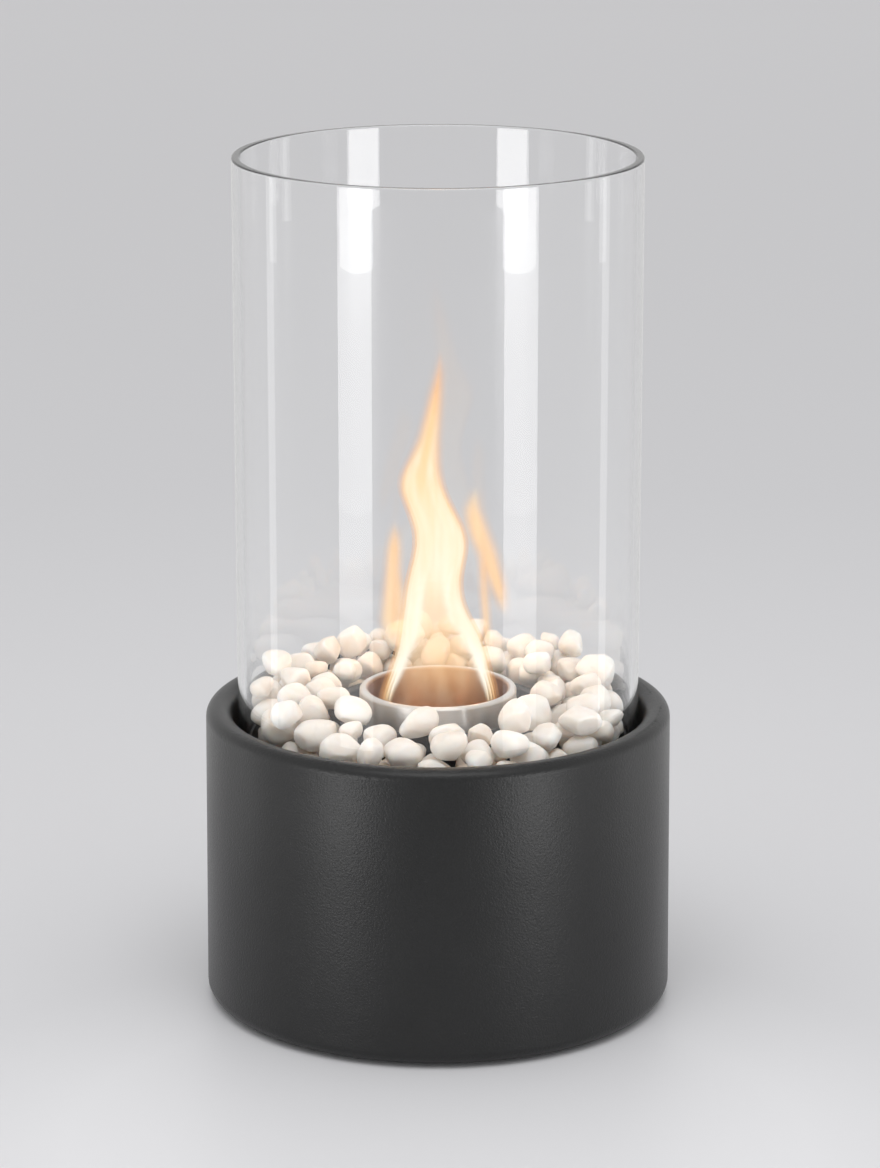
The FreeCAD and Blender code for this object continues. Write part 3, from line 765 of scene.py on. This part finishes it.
DENT_DEPTH = 0.4 * MM
DENTS_PER_METRE = 130.0
stone_wear = wear_tree()
for number, (name, stones) in enumerate(stone_sets.items()):
    settle_nodes(stones, stone_wear, Dent_Depth=DENT_DEPTH, Dents_Per_Metre=DENTS_PER_METRE, Seed=number)
    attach(stones, "base")
    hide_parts(name)
    print(stones.name, len(stones.data.polygons), "triangles after wear")

# %% [markdown]
# ## Flame
# A flame from a round wick is a thin, bright skin of burning vapour round a dark hollow: its sides look
# bright because the eye looks along the skin there, and low down the middle is nearly clear. A volume
# would be the physical way, but it is slow and can't leave Blender. So the flame is built of nested
# skins, each a tube that follows the flame's outline, with its glow and its thinness painted on its points.
# The outlines come first: rows of a height and the left and right edges there, in millimetres.

# %% Flame outlines
FLAME_BODY = (
    (112, -21.5, 22.0), (117, -20.5, 21.5), (122, -18.5, 20.0), (127, -16.5, 18.5), (136, -14.0, 16.5),
    (145, -13.0, 11.5), (152, -12.0, 8.5), (160, -11.0, 7.5), (168, -9.0, 9.0), (175, -7.5, 10.5),
    (181, -8.0, 9.0), (188, -10.5, 5.5), (195, -13.5, 2.0), (199, -14.5, 1.0), (205, -12.0, 0.5),
    (213, -8.0, 1.0), (224, -5.5, 2.0), (234, -3.5, 3.0), (242, -1.5, 3.5), (248, 0.0, 1.5),
)
FLAME_LEFT = (
    (134, -20.5, -13.0), (145, -21.0, -12.5), (155, -20.0, -13.0), (164, -19.0, -14.5), (174, -18.0, -14.5),
    (184, -16.5, -15.5),
)
FLAME_RIGHT = (
    (146, 24.5, 25.5), (152, 23.0, 24.5), (158, 21.0, 24.0), (164, 18.5, 22.5), (171, 16.0, 21.0),
    (177, 13.0, 19.0), (182, 11.5, 17.0), (188, 11.0, 14.5), (197, 14.0, 14.5),
)
FLAME_HEART = (
    (114, -20.0, 21.0), (122, -18.0, 19.0), (130, -15.5, 17.5), (138, -13.5, 15.5), (147, -12.5, 11.0),
    (158, -11.0, 7.5), (172, -8.0, 9.5),
)
FLAME_STRAND = (
    (132, 17.5, 20.0), (145, 17.0, 19.0), (155, 16.0, 18.5), (165, 15.5, 18.0), (173, 15.0, 18.0),
)
print("flame reaches", FLAME_BODY[-1][0], "mm")

# %% [markdown]
# ## Flame: skins from outlines
# Each outline becomes rings of points, one above the other, a little flatter from front to back than they
# are wide. Corners in the outline are eased, because a flame has none.

# %% Flame skins
ROUND_POINTS = 64
SKIN_LEVELS = 110
FLAME_DEPTH_SHARE = 0.8
EDGE_EASE = 3  # levels
SWAY_TURNS = 1.3
THINNEST = 0.05  # mm, half of a skin's width


def smooth_step(low, high, value):
    share = np.clip((value - low) / (high - low), 0, 1)
    return share * share * (3 - 2 * share)


def along(heights, pairs):
    """A value that changes with height, given as pairs of height and value."""
    return np.interp(heights, [pair[0] for pair in pairs], [pair[1] for pair in pairs])


def eased(values, width):
    """The same values with their corners rounded off over a few levels."""
    reach = np.arange(-3 * width, 3 * width + 1)
    weights = np.exp(-0.5 * (reach / width) ** 2)
    padded = np.pad(values, 3 * width, mode="edge")
    return np.convolve(padded, weights / weights.sum(), mode="valid")


def skin_points(rows, swell, sway):
    """Rings of points up a flame: swell in mm makes the skin larger or smaller, sway moves it in depth."""
    heights = np.linspace(rows[0][0], rows[-1][0], SKIN_LEVELS)
    left = eased(along(heights, [(row[0], row[1]) for row in rows]), EDGE_EASE)
    right = eased(along(heights, [(row[0], row[2]) for row in rows]), EDGE_EASE)
    half = np.maximum((right - left) / 2 + swell, THINNEST)
    middle = (right + left) / 2
    turns = np.linspace(0, 2 * np.pi, ROUND_POINTS, endpoint=False)
    rise = (heights - heights[0]) / (heights[-1] - heights[0])
    depth = sway * np.sin(rise * 2 * SWAY_TURNS * np.pi)
    x = middle[:, None] + half[:, None] * np.cos(turns)
    y = depth[:, None] + FLAME_DEPTH_SHARE * half[:, None] * np.sin(turns)
    z = np.repeat(heights[:, None], ROUND_POINTS, axis=1)
    return np.stack((x, y, z), axis=2) * MM, heights, np.abs(np.cos(turns))


def skin_faces(first):
    faces = []
    for level in range(SKIN_LEVELS - 1):
        for turn in range(ROUND_POINTS):
            here = first + level * ROUND_POINTS
            after = (turn + 1) % ROUND_POINTS
            above = here + ROUND_POINTS
            faces.append((here + turn, here + after, above + after, above + turn))
    faces.append(tuple(first + turn for turn in reversed(range(ROUND_POINTS))))
    last = first + (SKIN_LEVELS - 1) * ROUND_POINTS
    faces.append(tuple(last + turn for turn in range(ROUND_POINTS)))
    return faces


def flame_skins(name, skins):
    """One piece made of nested skins, each as its points, its heat and its thickness to the eye."""
    points, faces, heats, veils = [], [], [], []
    for grid, heat, veil in skins:
        faces.extend(skin_faces(len(points)))
        points.extend(grid.reshape(-1, 3).tolist())
        heats.append(np.clip(heat, 0, 1).ravel())
        veils.append(np.clip(veil, 0, 1).ravel())
    mesh = bpy.data.meshes.new(name)
    mesh.from_pydata(points, [], faces)
    for label, values in (("flame_heat", heats), ("flame_veil", veils)):
        attribute = mesh.attributes.new(label, "FLOAT", "POINT")
        attribute.data.foreach_set("value", np.concatenate(values).astype(np.float32))
    mesh.shade_smooth()
    piece = bpy.data.objects.new(name, mesh)
    scene.collection.objects.link(piece)
    print(name, len(skins), "skins,", len(faces), "faces")
    return piece


# %% [markdown]
# ## Flame: its glow
# The finish only gives light: its colour runs from orange to nearly white with the heat painted on the
# points, and streaks that rise with the flame make it thinner and thicker.

# %% Flame glow
STREAKS_PER_METRE = (230.0, 230.0, 26.0)
STREAK_HEAT = 0.7
STREAK_THIN, STREAK_THICK = 0.45, 1.75
FLAME_STRENGTH = 1.22
FLAME_COLOURS = (
    (0.0, (0.98, 0.44, 0.13, 1)), (0.3, (1.0, 0.58, 0.25, 1)),
    (0.6, (1.0, 0.79, 0.48, 1)), (0.9, (1.0, 0.96, 0.84, 1)),
)
flame_glow, flame_tree, flame_shader, flame_place = open_finish("flame_glow")
flame_streaks = put(
    flame_tree, "ShaderNodeTexNoise", None,
    Vector=put(flame_tree, "ShaderNodeMapping", None, Vector=flame_place, Scale=STREAKS_PER_METRE).outputs[0],
    Scale=1.0, Detail=2.0, Roughness=0.5, Distortion=0.3,
).outputs[0]
flame_heat = put(flame_tree, "ShaderNodeAttribute", {"attribute_name": "flame_heat"}).outputs["Fac"]
flame_veil = put(flame_tree, "ShaderNodeAttribute", {"attribute_name": "flame_veil"}).outputs["Fac"]
flame_even = sums(flame_tree, "SUBTRACT", flame_heat, STREAK_HEAT / 2)
flame_warmth = sums(flame_tree, "MULTIPLY_ADD", flame_streaks, STREAK_HEAT, flame_even)
flame_ramp = put(flame_tree, "ShaderNodeValToRGB", None, Fac=flame_warmth)
set_ramp(flame_ramp, FLAME_COLOURS)
flame_streaky = span(flame_tree, flame_streaks, STREAK_THIN, STREAK_THICK)
flame_thin = sums(flame_tree, "MULTIPLY", flame_veil, flame_streaky)
flame_alpha = put(flame_tree, "ShaderNodeClamp", None, Value=flame_thin).outputs[0]
flame_shader.inputs["Base Color"].default_value = (0, 0, 0, 1)
flame_shader.inputs["Roughness"].default_value = 1.0
flame_shader.inputs["Specular IOR Level"].default_value = 0.0
flame_shader.inputs["Emission Strength"].default_value = FLAME_STRENGTH
flame_tree.links.new(flame_ramp.outputs[0], flame_shader.inputs["Emission Color"])
flame_tree.links.new(flame_alpha, flame_shader.inputs["Alpha"])
print("flame finish", flame_glow.name)

# %% [markdown]
# ## Flame: putting the skins together
# The body is five nested skins: hot and narrow inside, cooler and wider outside. Its legs are where the eye
# looks along the skin; higher up the skin fills in. The tongues beside it, and the warm haze between the
# legs, are softer and thickest in their middle.

# %% Flame pieces
SKIN_HEAT = (
    (112, 0.4), (118, 0.7), (127, 1.15), (150, 1.15), (182, 1.0), (203, 0.75), (225, 0.45), (248, 0.15),
)
SKIN_FILL = (
    (112, 0.0), (118, 0.02), (130, 0.05), (140, 0.09), (150, 0.18), (162, 0.5), (178, 0.8), (195, 0.7),
    (212, 0.5), (230, 0.3), (248, 0.0),
)
SKIN_LEGS = (
    (112, 0.0), (115, 0.8), (120, 1.0), (140, 1.0), (165, 0.7), (195, 0.4), (215, 0.0), (248, 0.0),
)
CENTRE_COOLER = 0.15
SKIN_BLUR = ((112, 0.0), (160, 0.0), (205, 0.9), (248, 1.0))
LEG_START = ((112, 0.97), (120, 0.9), (130, 0.76), (145, 0.48), (165, 0.3), (248, 0.2))
LEG_WIDTH = 0.3
BODY_SWAY = 2.5
TONGUE_FADE = 0.25
BODY_SKINS = (  # swell, heat shift, gain
    (-2.4, 0.15, 0.6), (-1.2, 0.0, 0.6), (-0.2, -0.25, 0.42), (0.6, -0.6, 0.2), (1.6, -0.95, 0.12),
)
TONGUES = (  # outline, swell, heat below, heat above, gain, sway
    (FLAME_HEART, -3.0, 0.3, 0.5, 0.16, 1.0), (FLAME_HEART, -1.0, 0.15, 0.4, 0.16, 1.0),
    (FLAME_LEFT, 0.0, 0.5, 0.4, 0.24, 1.0), (FLAME_LEFT, 1.2, 0.35, 0.3, 0.19, 1.0),
    (FLAME_LEFT, 2.6, 0.2, 0.15, 0.11, 1.0),
    (FLAME_RIGHT, 0.4, 0.45, 0.55, 0.26, 1.0), (FLAME_RIGHT, 1.8, 0.3, 0.4, 0.2, 1.0),
    (FLAME_RIGHT, 3.4, 0.15, 0.25, 0.12, 1.0),
    (FLAME_STRAND, 0.3, 0.4, 0.4, 0.2, 0.5), (FLAME_STRAND, 1.6, 0.2, 0.2, 0.13, 0.5),
)


def body_skin(swell, heat_shift, gain):
    grid, heights, limb = skin_points(FLAME_BODY, swell, BODY_SWAY)
    start = along(heights, LEG_START)[:, None]
    legs = smooth_step(start, np.minimum(start + LEG_WIDTH, 1.0), limb[None, :])
    fade = 1 - along(heights, SKIN_BLUR)[:, None] * limb[None, :] ** 2
    veil = along(heights, SKIN_FILL)[:, None] * fade + along(heights, SKIN_LEGS)[:, None] * legs
    heat = along(heights, SKIN_HEAT)[:, None] + heat_shift - CENTRE_COOLER * (1 - legs)
    return grid, heat, veil * gain


def tongue_skin(rows, swell, heat_low, heat_high, gain, sway):
    grid, heights, limb = skin_points(rows, swell, sway)
    rise = (heights - heights[0]) / (heights[-1] - heights[0])
    ends = smooth_step(0, TONGUE_FADE, rise) * (1 - smooth_step(1 - TONGUE_FADE, 1.0, rise))
    veil = gain * ends[:, None] * (1 - limb[None, :] ** 2)
    heat = np.repeat((heat_low + (heat_high - heat_low) * rise)[:, None], ROUND_POINTS, axis=1)
    return grid, heat, veil


skins = [body_skin(*values) for values in BODY_SKINS] + [tongue_skin(*values) for values in TONGUES]
flame = flame_skins("flame", skins)
flame.data.materials.append(flame_glow)
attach(flame, "burner")

# %% [markdown]
# ## Firelight
# The skins glow, but they are too thin to light the steel and the stones as a fire does. A warm ball of
# light in the flame's bright part lights the stones; it is kept out of mirror images, where it would show
# as a ball. A small disc at each of the flame's legs faces down into the burner and draws an upright streak
# of firelight on the steel there.

# %% Firelight
FIRE_COLOUR = (1.0, 0.58, 0.28)
FIRE_POWER = 0.08
FIRE_PLACE = (0, 4, 165)
FIRE_SOFTNESS = 22 * MM
fire = bpy.data.lights.new("firelight", "POINT")
fire.energy = FIRE_POWER
fire.color = FIRE_COLOUR
fire.shadow_soft_size = FIRE_SOFTNESS
fire_lamp = bpy.data.objects.new("firelight", fire)
fire_lamp.location = Vector(FIRE_PLACE) * MM
fire_lamp.visible_camera = False
fire_lamp.visible_glossy = False
fire_lamp.visible_transmission = False
scene.collection.objects.link(fire_lamp)

LEG_LIGHT_WIDTH = 8 * MM
LEG_LIGHT_GLOW = 8.0
LEG_LIGHT_ASIDE = 15
LEG_LIGHT_HEIGHT = 127
DOWN = Vector((0, 0, -1))
for side, word in ((-1, "left"), (1, "right")):
    place = Vector((side * LEG_LIGHT_ASIDE, 0, LEG_LIGHT_HEIGHT)) * MM
    leg_light = soft_lamp(
        "leg_light_" + word, place, place + DOWN, LEG_LIGHT_WIDTH, LEG_LIGHT_WIDTH, LEG_LIGHT_GLOW,
    )
    leg_light.data.shape = "DISK"
    leg_light.data.color = FIRE_COLOUR
print("firelight", FIRE_POWER, "W")

# %% [markdown]
# ## Floor
# A seamless pale sheet runs from under the object to far behind it, and has no edge in sight. It is made in
# two rings, because a mirror image in the tube should see only the inner one, the size of a table, and
# look past its edge at the lower ends of the strips. Its colour is painted lighter round a spot just in
# front of the object and darker further off: a painted pool of light. A faint mottling keeps it from
# looking like an empty page.

# %% Floor
TABLE_REACH = 0.3
FLOOR_REACH = 8.0
FLOOR_DROP = 0.05 * MM
FLOOR_SIDES = 96
# painted light: the floor is painted lighter round this spot and darker further off, a painted pool of light
PAINTED_LIGHT_POOL_MIDDLE = (0, -0.15, 0)
PAINTED_LIGHT_POOL_REACH = 3.0
PAPER_CLOUDS_PER_METRE = 3.0
PAPER_TINTS = ((0.98, 0.98, 0.995, 1), (1.0, 1.0, 1.015, 1))
PAPER_SMOOTH, PAPER_ROUGH = 0.42, 0.5
PAINTED_LIGHT_POOL_TONES = (
    (0.0, (0.79, 0.79, 0.795, 1)), (0.043, (0.78, 0.78, 0.787, 1)), (0.065, (0.69, 0.69, 0.698, 1)),
    (0.32, (0.625, 0.625, 0.634, 1)), (1.0, (0.668, 0.666, 0.674, 1)),
)


def floor_ring(name, inner, outer):
    """A flat ring of floor, or a disc where the inner radius is zero."""
    work = bmesh.new()
    if inner:
        bmesh.ops.create_circle(work, segments=FLOOR_SIDES, radius=inner)
        bmesh.ops.create_circle(work, segments=FLOOR_SIDES, radius=outer)
        bmesh.ops.bridge_loops(work, edges=work.edges)
    else:
        bmesh.ops.create_circle(work, segments=FLOOR_SIDES, radius=outer, cap_ends=True)
    bmesh.ops.recalc_face_normals(work, faces=work.faces)
    if work.faces[:][0].normal.z < 0:
        bmesh.ops.reverse_faces(work, faces=work.faces)
    bmesh.ops.translate(work, verts=work.verts, vec=(0, 0, -FLOOR_DROP))
    mesh = bpy.data.meshes.new(name)
    work.to_mesh(mesh)
    work.free()
    ring = bpy.data.objects.new(name, mesh)
    scene.collection.objects.link(ring)
    return ring


floor_paper, floor_tree, floor_shader, floor_place = open_finish("floor_paper")
floor_cloud = put(
    floor_tree, "ShaderNodeTexNoise", None, Vector=floor_place, Scale=PAPER_CLOUDS_PER_METRE, Detail=4.0,
).outputs[0]
# painted pool of light: the floor's colour follows the distance from a spot just in front of the object
floor_away = put(
    floor_tree, "ShaderNodeVectorMath", {"operation": "DISTANCE"}, s0=floor_place, s1=PAINTED_LIGHT_POOL_MIDDLE,
).outputs["Value"]
floor_share = put(floor_tree, "ShaderNodeMapRange", None, Value=floor_away, From_Max=PAINTED_LIGHT_POOL_REACH).outputs[0]
floor_light_pool_ramp = put(floor_tree, "ShaderNodeValToRGB", None, Fac=floor_share)
set_ramp(floor_light_pool_ramp, PAINTED_LIGHT_POOL_TONES)
floor_tint = blend_colour(floor_tree, floor_cloud, *PAPER_TINTS)
floor_colour = put(
    floor_tree, "ShaderNodeMix", {"data_type": "RGBA", "blend_type": "MULTIPLY"},
    s0=1.0, s6=floor_light_pool_ramp.outputs[0], s7=floor_tint,
).outputs[2]
floor_tree.links.new(floor_colour, floor_shader.inputs["Base Color"])
floor_gloss = span(floor_tree, floor_cloud, PAPER_SMOOTH, PAPER_ROUGH)
floor_tree.links.new(floor_gloss, floor_shader.inputs["Roughness"])
table = floor_ring("studio_table", 0, TABLE_REACH)
floor = floor_ring("studio_floor", TABLE_REACH, FLOOR_REACH)
floor.visible_glossy = False
floor.visible_shadow = False
for ring in (table, floor):
    ring.data.materials.append(floor_paper)
print("floor", 2 * FLOOR_REACH, "m wide")

# %% [markdown]
# ## Close the lesson
# The dressed model keeps the size of the solids.

# %% Finish
print("lesson closed")
